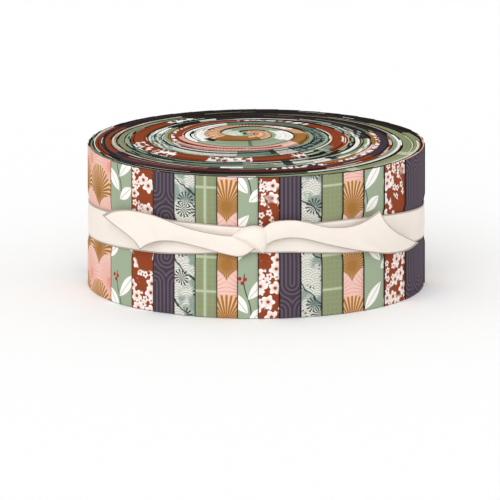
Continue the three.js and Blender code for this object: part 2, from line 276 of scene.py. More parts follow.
# %% What lies where on the top
PLAIN, HATCH, BLOSSOM, LINES, DIAMONDS, WAVES, RAYS = range(7)
TOP = [
    # from turn, to turn, from share, to share, cloth, and its figure and motif if it has any
    (-2.0, 0.0, 0.44, 1.0, "sage"),
    (-0.64, -0.36, 0.44, 1.0, "shell", "grey", WAVES),
    (-1.0, -0.22, 0.0, 0.44, "sage"),
    (-0.22, 0.17, 0.0, 0.44, "peach", "tan", DIAMONDS),
    (0.17, 0.42, 0.0, 0.44, "tan"),
    (0.17, 0.24, 0.0, 0.18, "peach"),
    (0.42, 0.61, 0.0, 0.44, "peach", "tan", RAYS),
    (0.61, 0.80, 0.0, 0.44, "peach", "tan", HATCH),
    (0.80, 0.90, 0.0, 0.44, "pink", "white", BLOSSOM),
    (0.90, 0.97, 0.0, 0.44, "peach", "tan", HATCH),
    (0.97, 1.10, 0.0, 0.44, "tan"),
    (1.10, 1.18, 0.0, 0.44, "pink"),
    (1.18, 1.50, 0.0, 0.44, "pink", "coral", HATCH),
    (1.18, 1.50, 0.36, 0.44, "rust", "pink", LINES),
    (1.15, 1.50, 0.15, 0.27, "wine", "rust", LINES),
    (1.50, 1.75, 0.0, 0.30, "rust"),
    (1.50, 1.75, 0.0, 0.05, "peach"),
    (1.44, 1.60, 0.24, 0.34, "rust", "white", BLOSSOM),
    (1.46, 1.66, 0.34, 0.44, "tan"),
    (1.60, 1.75, 0.27, 0.44, "rust", "peach", LINES),
    (1.72, 1.86, 0.0, 0.44, "rust", "white", BLOSSOM),
    (1.86, 2.10, 0.0, 0.44, "rust"),
    (1.90, 2.12, 0.0, 0.07, "cream", "peach", LINES),
    (1.98, 2.03, 0.31, 0.40, "cream"),
    (2.07, 2.10, 0.10, 0.28, "teal"),
    (2.11, 2.15, 0.0, 0.44, "sage", "ink", LINES),
    (2.15, 2.18, 0.0, 0.44, "white", "rust", BLOSSOM),
    (2.18, 2.62, 0.0, 0.44, "rust"),
    (2.255, 2.315, 0.0, 0.44, "white", "rust", BLOSSOM),
    (2.37, 2.42, 0.0, 0.44, "white", "rust", BLOSSOM),
    (2.42, 2.48, 0.10, 0.44, "rust", "white", BLOSSOM),
    (2.30, 2.60, 0.0, 0.03, "peach"),
    (2.62, 2.66, 0.0, 0.44, "white", "ink", BLOSSOM),
    (2.66, 3.0, 0.0, 0.44, "ink", "brown", LINES),
    (2.76, 2.90, 0.16, 0.24, "wine"),
    (2.84, 2.96, 0.0, 0.2, "deep_teal", "moss", LINES),
    (2.95, 3.17, 0.0, 0.11, "tan"),
    (3.03, 3.10, 0.0, 0.11, "pink"),
    (2.95, 3.17, 0.11, 0.21, "rust", "white", BLOSSOM),
    (2.95, 3.17, 0.21, 0.38, "plum"),
    (2.97, 3.17, 0.38, 0.44, "rust", "pink", LINES),
    (3.16, 3.48, 0.0, 0.44, "ink", "wine", LINES),
    (3.16, 3.28, 0.0, 0.08, "sage"),
    (3.28, 3.45, 0.0, 0.08, "plum", "pink", LINES),
    (3.30, 3.42, 0.08, 0.11, "pink"),
    (3.17, 3.33, 0.12, 0.32, "wine"),
    (3.33, 3.46, 0.12, 0.34, "ink", "plum", LINES),
    (3.33, 3.46, 0.20, 0.25, "rust"),
    (3.08, 3.17, 0.21, 0.38, "plum", "rust", LINES),
    (3.16, 3.24, 0.0, 0.15, "plum", "white", BLOSSOM),
    (3.32, 3.46, 0.34, 0.44, "plum", "pink", LINES),
    (3.45, 3.66, 0.0, 0.44, "rust"),
    (3.42, 3.66, 0.14, 0.31, "plum", "ink", LINES),
    (3.59, 3.78, 0.0, 0.44, "ink", "brown", LINES),
    (3.59, 3.66, 0.14, 0.31, "plum", "ink", LINES),
    (3.76, 4.02, 0.0, 0.44, "brown", "ink", LINES),
    (3.96, 4.3, 0.0, 0.44, "peach", "rust", LINES),
    (0.0, 1.0, 0.44, 1.0, "sage"),
    (-0.08, 0.10, 0.56, 1.0, "white"),
    (0.24, 0.25, 0.44, 0.9, "moss"),
    (0.42, 0.70, 0.44, 1.0, "white"),
    (0.39, 0.45, 0.46, 0.60, "ink"),
    (0.41, 0.43, 0.78, 0.88, "ink"),
    (0.43, 0.56, 0.80, 0.84, "ink"),
    (0.53, 0.57, 0.76, 0.84, "ink"),
    (0.45, 0.64, 0.69, 0.72, "moss"),
    (0.56, 0.72, 0.56, 0.64, "teal", "white", LINES),
    (0.70, 0.95, 0.44, 1.0, "teal", "moss", LINES),
    (0.70, 0.95, 0.44, 0.60, "moss", "deep_teal", LINES),
    (0.95, 1.13, 0.44, 1.0, "sage"),
    (0.90, 1.12, 0.56, 0.90, "deep_teal", "teal", BLOSSOM),
    (1.12, 1.15, 0.44, 1.0, "deep_teal", "teal", BLOSSOM),
    (1.15, 1.20, 0.44, 1.0, "shell", "grey", WAVES),
    (1.19, 1.21, 0.44, 0.84, "deep_teal"),
    (1.21, 1.28, 0.44, 0.84, "moss", "teal", LINES),
    (1.28, 1.42, 0.44, 0.84, "shell", "grey", WAVES),
    (1.20, 1.48, 0.84, 1.0, "sage", "moss", LINES),
    (1.42, 1.70, 0.44, 1.0, "teal", "shell", LINES),
    (1.44, 1.70, 0.44, 0.54, "sage"),
    (1.54, 1.60, 0.60, 0.90, "white"),
    (1.60, 1.66, 0.50, 0.90, "ink"),
    (1.66, 1.95, 0.44, 0.64, "ink", "moss", LINES),
    (1.66, 1.88, 0.64, 0.76, "grey", "white", LINES),
    (1.70, 1.98, 0.76, 1.0, "ink", "plum", LINES),
    (1.82, 1.98, 0.44, 0.86, "deep_teal", "grey", LINES),
    (1.90, 1.98, 0.60, 0.72, "grey", "white", LINES),
    (1.96, 2.12, 0.44, 0.47, "peach"),
    (1.96, 2.12, 0.47, 0.62, "sage", "ink", LINES),
    (1.98, 2.10, 0.62, 0.73, "white"),
    (1.98, 2.16, 0.73, 0.76, "ink"),
    (1.98, 2.16, 0.76, 0.88, "olive"),
    (1.98, 2.16, 0.88, 1.0, "sage", "white", LINES),
    (2.11, 2.16, 0.44, 0.86, "sage", "ink", LINES),
    (2.12, 2.14, 0.66, 0.95, "deep_teal", "ink", LINES),
    (2.14, 2.16, 0.66, 1.0, "white", "grey", WAVES),
    (2.16, 2.21, 0.44, 0.72, "shell", "grey", WAVES),
    (2.17, 2.21, 0.72, 1.0, "white", "sage", LINES),
    (2.20, 2.48, 0.44, 0.62, "teal", "deep_teal", LINES),
    (2.19, 2.21, 0.44, 0.9, "deep_teal"),
    (2.21, 2.27, 0.50, 0.64, "shell", "grey", WAVES),
    (2.22, 2.48, 0.66, 0.76, "ink", "moss", LINES),
    (2.22, 2.48, 0.76, 1.0, "sage", "moss", LINES),
    (2.28, 2.46, 0.80, 0.90, "plum", "ink", LINES),
    (2.30, 2.48, 0.90, 0.93, "cream", "pink", LINES),
    (2.28, 2.46, 0.94, 1.0, "wine", "plum", LINES),
    (2.26, 2.29, 0.76, 0.92, "white"),
    (2.48, 2.76, 0.44, 0.52, "ink", "sage", LINES),
    (2.46, 2.72, 0.52, 0.60, "sage"),
    (2.44, 2.74, 0.60, 0.80, "olive"),
    (2.44, 2.76, 0.80, 0.84, "ink"),
    (2.44, 2.76, 0.84, 1.0, "sage", "pink", LINES),
    (2.66, 3.0, 0.44, 1.0, "ink", "brown", LINES),
    (2.74, 2.98, 0.66, 0.72, "moss", "grey", LINES),
    (2.96, 3.22, 0.44, 0.53, "sage"),
    (2.96, 3.20, 0.53, 0.59, "white"),
    (2.94, 3.25, 0.59, 1.0, "olive"),
    (2.89, 2.94, 0.60, 0.80, "olive"),
    (2.72, 2.89, 0.61, 0.64, "pale_olive"),
    (2.81, 2.89, 0.66, 0.72, "moss", "olive", LINES),
    (2.78, 2.96, 0.50, 0.54, "grey"),
    (2.96, 3.06, 0.78, 0.83, "pale_olive"),
    (3.04, 3.05, 0.62, 0.90, "pale_olive"),
    (3.14, 3.15, 0.60, 0.88, "pale_olive"),
    (2.98, 3.12, 0.88, 0.92, "shell"),
    (2.98, 3.14, 0.92, 0.97, "ink", "rust", LINES),
    (2.96, 3.14, 0.97, 1.0, "peach"),
    (3.20, 3.48, 0.44, 0.56, "ink", "moss", LINES),
    (3.20, 3.48, 0.56, 0.66, "sage"),
    (3.25, 3.48, 0.66, 0.76, "ink"),
    (3.25, 3.272, 0.60, 0.76, "white"),
    (3.25, 3.48, 0.76, 1.0, "olive", "moss", LINES),
    (3.48, 3.60, 0.44, 1.0, "sage", "ink", LINES),
    (3.46, 3.58, 0.44, 0.47, "white"),
    (3.60, 3.80, 0.44, 1.0, "brown", "ink", LINES),
]
print("stretches of colour on the top:", len(TOP))

# %% Dashes, painted shade lines and the colours of one strip
DASHES = 9                # along each strip
DASH_LENGTHS = (0.014, 0.04)    # in turns
DASH_DYES = ("white", "ink", "rust", "sage")
DASH_CLEAR = 1.6          # a strip this many layers from a groove, or nearer, has no dashes
RIM_LINE = 2.7            # the painted shade line inside the rim reaches this many layers deep
NO_GROOVE_SHADE_TURNS, NO_GROOVE_SHADE_SHARES = (2.85, 3.25), (0.7, 0.9)   # where the grooves get no painted shade, at the rim; their relief stays
rng = np.random.default_rng(40)


def in_shade(share, winding_turns, radius):
    """Where shade is painted on an edge: between two bands, and at the rim. Widest in front and
    behind.
    """
    slack = np.abs(np.sin(2 * np.pi * winding_turns))
    layers_deep = (ROLL_RADIUS - radius) / LAYER
    dark = (layers_deep > 2.0 * (1 - slack)) & (layers_deep < RIM_LINE + 1.1 * slack)
    no_groove_shade = (winding_turns > NO_GROOVE_SHADE_TURNS[0]) & (winding_turns < NO_GROOVE_SHADE_TURNS[1])
    no_groove_shade &= NO_GROOVE_SHADE_SHARES[0] < share < NO_GROOVE_SHADE_SHARES[1]
    for off, groove, begins in zip(layers_off_grooves(share), GROOVES, GROOVE_STARTS):
        near = off < 0.5 + (groove - 1.0) * slack
        dark |= near & (radius > begins + 2) & (layers_deep > RIM_LINE) & ~no_groove_shade
    return dark


def top_colours(winding_turns, share, radius):
    """Cloth, figure and motif along one strip's upper edge, the last row that fits winning."""
    cloth = np.tile(DYES["sage"], (len(winding_turns), 1))
    figure = cloth.copy()
    motif = np.zeros(len(winding_turns))
    layers_a_line = 2 + 3 * np.abs(np.sin(2 * np.pi * winding_turns))
    in_line = np.floor(share * STRIPS / layers_a_line) % 2 == 1
    for start, end, low, high, ground, *drawn in TOP:
        if low <= share < high:
            drawing, kind = drawn or (ground, PLAIN)
            here = (winding_turns >= start) & (winding_turns < end)
            cloth[here] = DYES[ground]
            figure[here] = DYES[drawing]
            motif[here] = kind
            if kind == LINES:
                cloth[here & in_line] = DYES[drawing]
    dashes = DASHES if min(layers_off_grooves(share)) > DASH_CLEAR else 0
    for start in rng.uniform(winding_turns[0], winding_turns[-1], dashes):
        end = start + rng.uniform(*DASH_LENGTHS)
        here = (winding_turns > start) & (winding_turns < end) & (motif == LINES)
        cloth[here] = DYES[DASH_DYES[rng.integers(4)]]
    tone = 1 + rng.uniform(-0.14, 0.08) + 0.08 * np.sin(
        2 * np.pi * (rng.uniform(2, 5) * winding_turns + rng.uniform()))
    cloth[:, :3] *= tone[:, None]
    figure[:, :3] *= tone[:, None]
    # painted shade: the edges that lie in shade take the ink dye instead of their own colours
    shaded = in_shade(share, winding_turns, radius)
    # the last row, at the cut end, is painted with shade as well
    shaded[-1] = True
    cloth[shaded] = DYES["ink"]
    motif[shaded] = PLAIN
    return cloth, figure, motif


print("dashes on a strip:", DASHES)

# %% [markdown]
# ## One strip of cloth
#
# A strip is a long thin sheet, so its mesh is a chain of narrow rings: up the outer
# face, over the upper edge and down the inner face. Writing these rings with numpy is
# the surest way, because forty strips must lie a hair apart for four turns, which no
# operator could do by hand. The UV map follows the cloth. On the faces it counts from
# the cut end, for the print, and on the edges it counts along and across the stack.

# %% Shape of one strip
LEVELS = 9                # points up the outer face, and as many down the inner face
FRAYED = 1.5              # this much of a hidden face takes the colour of its edge
WAIST_DIPS = np.array([0, 0, 0.6, 1, 1, 0.6, 0, 0, 0]) * WAIST
DENT_FADE = 4             # the dent of the waist fades over this much radius


def strip_points(strip):
    """The rings of one strip, with the lengths that its UV map and colours need."""
    turns = strip_turns(strip)
    laps, share = place_in_stack(strip)
    radius = strip_radius(strip, turns)
    low, high = loop_edges(90 - 360 * turns)
    unevenness = rng.uniform(-0.08, 0.08) + 0.05 * np.sin(
        2 * np.pi * (rng.uniform(0.7, 1.9) * turns + rng.uniform()))
    top = edge_height(share, turns + laps, radius) + unevenness
    base = np.full_like(top, rng.uniform(0.0, 0.12))
    heights = np.stack([
        base, low - WAIST_FADE, low - 1.2, low + 0.8,
        high - 0.8, high + 1.2, high + WAIST_FADE, top - FRAYED, top,
    ], axis=1)
    dent = np.exp(-(ROLL_RADIUS - radius) / DENT_FADE)[:, None] * WAIST_DIPS
    outer = radius[:, None] - dent
    rings = np.empty((len(turns), 2 * LEVELS, 3))
    for face, start in ((outer, 0), (outer[:, ::-1] - CLOTH, LEVELS)):
        x, y = on_disc(turns[:, None], face)
        z = heights if start == 0 else heights[:, ::-1]
        rings[:, start:start + LEVELS] = np.stack([x, y, z], axis=2)
    return rings, turns, laps, share, radius


def lengths_back(line):
    """Length of cloth from the cut end, which comes last, back to each point of a line."""
    steps = np.linalg.norm(np.diff(line, axis=0), axis=1)
    return np.concatenate([np.cumsum(steps[::-1])[::-1], [0]])


def strip_faces(rows):
    """Quads between the rings, then the two ends, all facing outwards."""
    ring = 2 * LEVELS
    i, k = np.meshgrid(np.arange(rows - 1), np.arange(ring), indexing="ij")
    a, b = i * ring + k, i * ring + (k + 1) % ring
    skin = np.stack([a, b, b + ring, a + ring], axis=2).reshape(-1, 4)
    k = np.arange(LEVELS - 1)
    cap = np.stack([k, k + 1, ring - 2 - k, ring - 1 - k], axis=1)
    last = (rows - 1) * ring
    return np.concatenate([skin, cap[:, ::-1], cap + last])


print("faces of strip 1:", len(strip_faces(len(strip_turns(1)))))

# %% From rings to an object
CAP_CORNERS = 2 * (LEVELS - 1) * 4
# Places in the ring: the upper and lower edge, and the faces just under the upper edge
EDGES = (LEVELS - 1, 2 * LEVELS - 1)
OUTER_FRAY, INNER_FRAY = LEVELS - 2, LEVELS


def stack_length(winding_turns):
    """Millimetres along the middle of the stack, the same for all strips side by side."""
    return 2 * np.pi * (
        (CORE_START + PITCH / 2) * winding_turns + PITCH * winding_turns ** 2 / 2)


def edge_quads(radius):
    """Which quads take the colour of the cut edge; on the wall the print goes right up."""
    chosen = np.zeros((len(radius) - 1, 2 * LEVELS), dtype=bool)
    chosen[:, EDGES] = True
    chosen[:, INNER_FRAY] = True
    chosen[:, OUTER_FRAY] = radius[1:] < ROLL_RADIUS - 1.3 * LAYER
    # the last row, on the wall too, carries the painted shade line of the cut end
    chosen[-1] = True
    return chosen


def strip_uvs(rings, turns, laps, share, shift, on_edge):
    """A UV for each corner of each quad, in metres, in the order of strip_faces."""
    before, after = rings[:-1, :, 2], rings[1:, :, 2]
    along = (lengths_back(rings[:, 0, :2]) + shift[0])[:, None, None]
    shared = stack_length(turns + laps)[:, None, None]
    edge = on_edge[..., None]
    start, end = (np.where(edge, shared[k], along[k]) for k in (slice(None, -1), slice(1, None)))
    u = np.concatenate([start, start, end, end], axis=2)
    v = np.stack([before, np.roll(before, -1, 1), np.roll(after, -1, 1), after], axis=2)
    across = share * PITCH - CLOTH * np.array([0, 1, 1, 0])
    v = np.where(edge, across, v + shift[1])
    skin = np.stack([u, v], axis=3).reshape(-1, 2)
    return np.concatenate([skin, np.zeros((CAP_CORNERS, 2))]) * MM


print("corners in the two ends of a strip:", CAP_CORNERS)

# %% One strip as an object


def linked(mesh):
    """The object of a mesh, in the scene."""
    piece = bpy.data.objects.new(mesh.name, mesh)
    bpy.context.collection.objects.link(piece)
    return piece


def make_strip(strip, print_material, edge_material, shift):
    """The object of one strip, with its print on its faces and its dyes on its edges."""
    rings, turns, laps, share, radius = strip_points(strip)
    on_edge = edge_quads(radius)
    faces = strip_faces(len(turns))
    mesh = bpy.data.meshes.new(f"strip_{strip:02d}")
    mesh.from_pydata(rings.reshape(-1, 3) * MM, [], faces.tolist())
    mesh.uv_layers.new(name="cloth").data.foreach_set(
        "uv", strip_uvs(rings, turns, laps, share, shift, on_edge).ravel())
    middles = (turns[:-1] + turns[1:]) / 2 + laps
    cloth, figure, motif = top_colours(middles, share, (radius[:-1] + radius[1:]) / 2)
    for name, kind, key, values in (
        ("cloth_dye", "FLOAT_COLOR", "color", cloth),
        ("figure_dye", "FLOAT_COLOR", "color", figure),
        ("motif", "FLOAT", "value", motif),
    ):
        skin = np.repeat(values, 2 * LEVELS * 4, axis=0)
        # both end faces take the last row's colours: the ink of the painted shade at the cut end
        caps = np.repeat(values[-1:], CAP_CORNERS, axis=0)
        layer = mesh.attributes.new(name, kind, "CORNER")
        layer.data.foreach_set(key, np.concatenate([skin, caps]).ravel())
    slots = np.append(on_edge.ravel(), np.ones(2 * (LEVELS - 1))).astype(int)
    mesh.polygons.foreach_set("material_index", slots)
    mesh.materials.append(print_material)
    mesh.materials.append(edge_material)
    mesh.shade_smooth()
    mesh.set_sharp_from_angle(angle=math.radians(40))
    return linked(mesh), lengths_back(rings[:, 0, :2])[0]


print("points up each face of a strip:", LEVELS)

# %% [markdown]
# ## Drawing with nodes
#
# The prints are drawn with Math nodes. A small class stands for a number that changes
# over the cloth: adding or multiplying two of them adds the node that does it. So a
# pattern reads like the sum that it is.

# %% A number that changes over the cloth


class Field:
    """The output of a node, which can be reckoned with."""

    def __init__(self, socket):
        self.socket = socket
        self.tree = socket.id_data

    def math(self, operation, *others):
        node = self.tree.nodes.new("ShaderNodeMath")
        node.operation = operation
        for slot, value in zip(node.inputs, (self, *others)):
            plug(slot, value)
        return Field(node.outputs[0])

    def __add__(self, other):
        return self.math("ADD", other)

    def __sub__(self, other):
        return self.math("SUBTRACT", other)

    def __mul__(self, other):
        return self.math("MULTIPLY", other)

    def __truediv__(self, other):
        return self.math("DIVIDE", other)

    def floor(self):
        return self.math("FLOOR")

    def part(self):
        return self.math("FRACT")

    def size(self):
        return self.math("ABSOLUTE")

    def ramp(self, low, high):
        """0 at low and 1 at high, where low may be the larger."""
        node = self.tree.nodes.new("ShaderNodeMapRange")
        node.interpolation_type = "SMOOTHSTEP"
        for slot, value in zip(node.inputs, (self, low, high)):
            plug(slot, value)
        return Field(node.outputs[0])


def plug(slot, value):
    """Link a field or an output to a socket, or set the socket to a number or colour."""
    if isinstance(value, Field):
        value = value.socket
    if isinstance(value, bpy.types.NodeSocket):
        value.id_data.links.new(value, slot)
    else:
        slot.default_value = value


def distance(x, y):
    """How far a place is from nought."""
    return (x * x + y * y).math("SQRT")


def either(*masks):
    """The larger of some masks."""
    result = masks[0]
    for mask in masks[1:]:
        result = result.math("MAXIMUM", mask)
    return result


print("a field can:", [name for name in vars(Field) if not name.startswith("_")])

# %% Helpers that add other nodes


def over(mask, ground, drawing):
    """A colour with another laid over it where the mask is 1."""
    node = mask.tree.nodes.new("ShaderNodeMix")
    node.data_type = "RGBA"
    plug(node.inputs[0], mask)
    plug(node.inputs[6], ground)
    plug(node.inputs[7], drawing)
    return node.outputs[2]


def place(x, y):
    """A vector from two fields."""
    node = x.tree.nodes.new("ShaderNodeCombineXYZ")
    plug(node.inputs[0], x)
    plug(node.inputs[1], y)
    return node.outputs[0]


def split(vector):
    """The first two parts of a vector."""
    node = vector.id_data.nodes.new("ShaderNodeSeparateXYZ")
    plug(node.inputs[0], vector)
    return Field(node.outputs[0]), Field(node.outputs[1])


def cloud(x, y, size, detail=2.0):
    """Soft blotches about so many millimetres across, from 0 to 1."""
    node = x.tree.nodes.new("ShaderNodeTexNoise")
    plug(node.inputs["Vector"], place(x / size, y / size))
    node.inputs["Scale"].default_value = 1.0
    node.inputs["Detail"].default_value = detail
    return Field(node.outputs["Fac"])


def scattered(x, y, size, chance=0.8):
    """The nearest of many scattered spots: where it is from there, and its own number."""
    node = x.tree.nodes.new("ShaderNodeTexVoronoi")
    node.voronoi_dimensions = "2D"
    plug(node.inputs["Vector"], place(x / size, y / size))
    node.inputs["Scale"].default_value = 1.0
    node.inputs["Randomness"].default_value = chance
    there_x, there_y = split(node.outputs["Position"])
    number, other = split(node.outputs["Color"])
    return (x / size - there_x) * size, (y / size - there_y) * size, number, other


def bricks(x, y, width, height):
    """The place in a repeat that comes in rows, each shifted by half."""
    row = (y / height).floor()
    across = x / width + row * 0.5
    column = across.floor()
    return (across - column - 0.5) * width, (y / height - row - 0.5) * height


def turned(x, y, degrees):
    """The same place on axes turned by an angle."""
    c, s = math.cos(math.radians(degrees)), math.sin(math.radians(degrees))
    return x * c + y * s, y * c - x * s


def off_middle(field, period):
    """How far a place is from the middle of its repeat, in repeats."""
    return ((field / period).part() - 0.5).size()


print("axes turned by 90 degrees:", [round(v) for v in turned(1, 0, 90)])

# %% [markdown]
# Plain-woven cotton is matt, and its threads show only close by: they go over and under
# one another about 25 times in a centimetre. One node group gives every print the same
# weave: a height for the bump, and a slight unevenness of the dye from thread to thread.

# %% The weave as a node group
THREAD = 0.40             # from one thread to the next
SLUB = 1.6                # thick and thin places in a thread, and how far one runs
SLUB_RUN = 6.0
WEAR = 14.0               # blotches where the dye has taken better or worse
WEAVE_SOCKETS = (
    ("Place", "INPUT", "NodeSocketVector"), ("Dye", "INPUT", "NodeSocketColor"),
    ("Unevenness", "INPUT", "NodeSocketFloat"), ("Dyed", "OUTPUT", "NodeSocketColor"),
    ("Height", "OUTPUT", "NodeSocketFloat"),
)


def make_weave_group():
    group = bpy.data.node_groups.new("plain_weave", "ShaderNodeTree")
    for name, side, kind in WEAVE_SOCKETS:
        group.interface.new_socket(name=name, in_out=side, socket_type=kind)
    start = group.nodes.new("NodeGroupInput")
    finish = group.nodes.new("NodeGroupOutput")
    x, y = split(start.outputs["Place"])
    warp = (x * (math.pi / THREAD)).math("SINE")
    weft = (y * (math.pi / THREAD)).math("SINE")
    height = warp * weft + 1.0
    slub = (cloud(x * SLUB_RUN, y, SLUB) + cloud(x, y * SLUB_RUN, SLUB)) * 0.5
    wear = cloud(x, y, WEAR, 3.0)
    darker = ((slub - 0.5) * 1.6 + (wear - 0.5) * 0.5) * Field(start.outputs["Unevenness"]) + 1.0
    tone = group.nodes.new("ShaderNodeVectorMath")
    tone.operation = "SCALE"
    plug(tone.inputs[0], start.outputs["Dye"])
    plug(tone.inputs["Scale"], darker)
    plug(finish.inputs["Dyed"], tone.outputs[0])
    plug(finish.inputs["Height"], height + (slub - 0.5) * 2.0)
    return group


weave_group = make_weave_group()
print("nodes in the weave:", len(weave_group.nodes))

# %% The material of a cloth
ROUGHNESS = 0.92
BUMP_STRENGTH = 0.35
PRINTS = {}


def make_cloth(name, colours, unevenness=0.22, bump=0.05, gloss=0.15):
    """A matt, woven material. The colours come from a function of the place in mm."""
    material = bpy.data.materials.new(name)
    material.use_nodes = True
    tree = material.node_tree
    tree.nodes.clear()
    uv = tree.nodes.new("ShaderNodeUVMap")
    uv.uv_map = "cloth"
    scale = tree.nodes.new("ShaderNodeVectorMath")
    scale.operation = "SCALE"
    plug(scale.inputs[0], uv.outputs[0])
    scale.inputs["Scale"].default_value = 1 / MM
    colour = colours(*split(scale.outputs[0]))
    weave = tree.nodes.new("ShaderNodeGroup")
    weave.node_tree = weave_group
    plug(weave.inputs["Place"], scale.outputs[0])
    plug(weave.inputs["Dye"], colour)
    weave.inputs["Unevenness"].default_value = unevenness
    relief = tree.nodes.new("ShaderNodeBump")
    relief.inputs["Strength"].default_value = BUMP_STRENGTH
    relief.inputs["Distance"].default_value = bump * MM
    plug(relief.inputs["Height"], weave.outputs["Height"])
    shader = tree.nodes.new("ShaderNodeBsdfPrincipled")
    shader.inputs["Roughness"].default_value = ROUGHNESS
    shader.inputs["Specular IOR Level"].default_value = gloss
    plug(shader.inputs["Base Color"], weave.outputs["Dyed"])
    plug(shader.inputs["Normal"], relief.outputs[0])
    output = tree.nodes.new("ShaderNodeOutputMaterial")
    plug(output.inputs[0], shader.outputs[0])
    print(material.name, "has", len(tree.nodes), "nodes")
    return material


print("roughness of all cloth:", ROUGHNESS)

# %% [markdown]
# ## Six prints
#
# The first print has round chrysanthemums whose narrow petals spread from a solid heart,
# tan on peach and coral on pink. Petals are counted by the angle round the flower, and
# the rays that show them narrow towards their tips.

# %% Chrysanthemums on peach
FLOWER = 12.5
FLOWER_ROW = 13.0         # rows overlap: each flower hides the lower half of the one above
FLOWER_GAP = 22.0
FLOWER_HEART = 2.6
PETALS = 34.0
PETAL_TIP, PETAL_TAPER = 1.4, 0.62      # how round its end is, and how much it narrows
PEACH_PETAL, CORAL_PETAL = 0.45, 0.05   # share of the room at the tip that it fills


def petals(x, y, radius, count, width):
    """A mask of petals that narrow outwards, and how far it is to the flower's middle."""
    reach = distance(x, y)
    angle = y.math("ARCTAN2", x) / (2 * math.pi) * count
    side = (angle.part() - 0.5).size() * 2
    tip = side * side * -PETAL_TIP + radius
    half = reach * (-PETAL_TAPER / radius) + width + PETAL_TAPER
    return (reach - tip).ramp(0.25, -0.25) * (side - half).ramp(0.1, -0.1), reach


def chrysanthemum_print(x, y):
    colour = DYES["pink"]
    for row in (1, 0):
        base = (y / FLOWER_ROW).floor() + row
        coral = (base * 0.5).part() * 2
        fx = ((x / FLOWER_GAP + base * 0.5).part() - 0.5) * FLOWER_GAP
        fy = y - base * FLOWER_ROW
        width = coral * (CORAL_PETAL - PEACH_PETAL) + PEACH_PETAL
        rays, reach = petals(fx, fy, FLOWER, PETALS, width)
        disc = reach.ramp(FLOWER + 0.1, FLOWER - 0.1)
        heart = reach.ramp(FLOWER_HEART, FLOWER_HEART - 0.4)
        colour = over(disc, colour, over(coral, DYES["peach"], DYES["pink"]))
        colour = over(either(rays, heart), colour, over(coral, DYES["tan"], DYES["coral"]))
    return colour


PRINTS["A"] = make_cloth("chrysanthemum_cotton", chrysanthemum_print)

# %% [markdown]
# The second print is quiet: sage green with a few large white leaves, a thin dark twig
# and red berries. A leaf is narrow at both ends, so its half width is a parabola.

# %% White leaves on sage
LEAF_REPEAT = (19.0, 27.0)
LEAVES = (
    # right of the middle of the repeat, above it, turned by, half length
    (3.2, 4.5, -42, 7.5), (-5.5, -2.5, 38, 6.0), (2.6, -8.0, -52, 5.0),
)
LEAF_WIDTH = 2.5          # half
BERRIES = ((-4.2, 6.4), (-3.0, 8.1), (-5.4, 8.4))


def leaf(x, y, degrees, length, width):
    """A mask of one leaf, and the mask of its vein."""
    across, along = turned(x, y, degrees)
    half = (along / length) * (along / length) * -width + width
    inside = (across.size() - half).ramp(0.15, -0.15) * along.size().ramp(length, length - 0.2)
    vein = across.size().ramp(0.22, 0.1) * along.size().ramp(length, length - 1.5)
    return inside, vein


def leaf_print(x, y):
    bx, by = bricks(x, y, *LEAF_REPEAT)
    twig = (bx + (by * 0.22).math("SINE") * 1.6 + 2.0).size().ramp(0.34, 0.16)
    colour = over(twig * by.size().ramp(11.0, 10.0), DYES["sage"], DYES["deep_teal"])
    for right, up, degrees, length in LEAVES:
        blade, vein = leaf(bx - right, by - up, degrees, length, LEAF_WIDTH)
        colour = over(blade, colour, DYES["white"])
        colour = over(vein, colour, DYES["grey"])
    berries = either(*[distance(bx - a, by - b).ramp(0.95, 0.75) for a, b in BERRIES])
    return over(berries, colour, DYES["berry"])


PRINTS["B"] = make_cloth("leaf_cotton", leaf_print)

# %% [markdown]
# The third print is rust red, strewn with blossom that crowds into clusters. Scattered
# spots come from a Voronoi texture, and each spot gets five petals of its own. A large
# soft blotch decides where the clusters are.

# %% Blossom on rust
BLOSSOMS = (
    # size, the blotch where the flowers thin out and where they are all there, shift
    (3.6, 0.48, 0.51, 9.0), (6.8, 0.455, 0.485, 0.0),
)
CLUSTER = 15.0            # size of the blotches that hold the clusters


def blossoms(x, y, size, low, high):
    """Masks of the petals and hearts of many flowers, and how far it is to a middle."""
    fx, fy, number, other = scattered(x, y, size)
    reach = distance(fx, fy)
    angle = fy.math("ARCTAN2", fx) + number * 6.0
    lobes = (angle * 5.0).math("COSINE") * 0.16 + 0.84
    edge = lobes * (other * 0.25 + 0.85) * (size * 0.47)
    crowd = cloud(x + 40.0, y, CLUSTER, 1.0).ramp(low, high)
    petal = (reach - edge).ramp(0.12, -0.12) * crowd
    heart = reach.ramp(size * 0.14, size * 0.08) * crowd
    return petal, heart, reach


def blossom_print(x, y):
    twig = (x + (y * 0.16).math("SINE") * 3.5 - cloud(x, y, 6.0) * 3.0).size().ramp(0.45, 0.2)
    colour = over(twig, DYES["rust"], DYES["ink"])
    for size, low, high, shift in BLOSSOMS:
        petal, heart, reach = blossoms(x + shift, y + shift, size, low, high)
        white = over(reach.ramp(0.0, size * 0.45), DYES["pink"], DYES["white"])
        colour = over(petal, colour, white)
        colour = over(heart, colour, DYES["rust"])
    return colour


PRINTS["C"] = make_cloth("blossom_cotton", blossom_print)

# %% [markdown]
# The fourth print is plum with fine lighter lines, about two millimetres apart, that run
# up the cloth and turn back round hoops. They are lines of equal distance from a row of
# upright strokes, so only that distance is reckoned.

# %% Hooped lines on plum
LINE_STEP = 1.9
STROKE = 9.0              # half the length of a stroke
STROKE_ROW = 30.0


def hoop_print(x, y):
    bx, by = bricks(x, y, 6 * LINE_STEP, STROKE_ROW)
    over_end = (by.size() - STROKE).math("MAXIMUM", 0.0)
    pale = off_middle(distance(bx, over_end), LINE_STEP).ramp(0.26, 0.18)
    return over(pale, DYES["plum"], DYES["mauve"])


PRINTS["D"] = make_cloth("hoop_cotton", hoop_print)

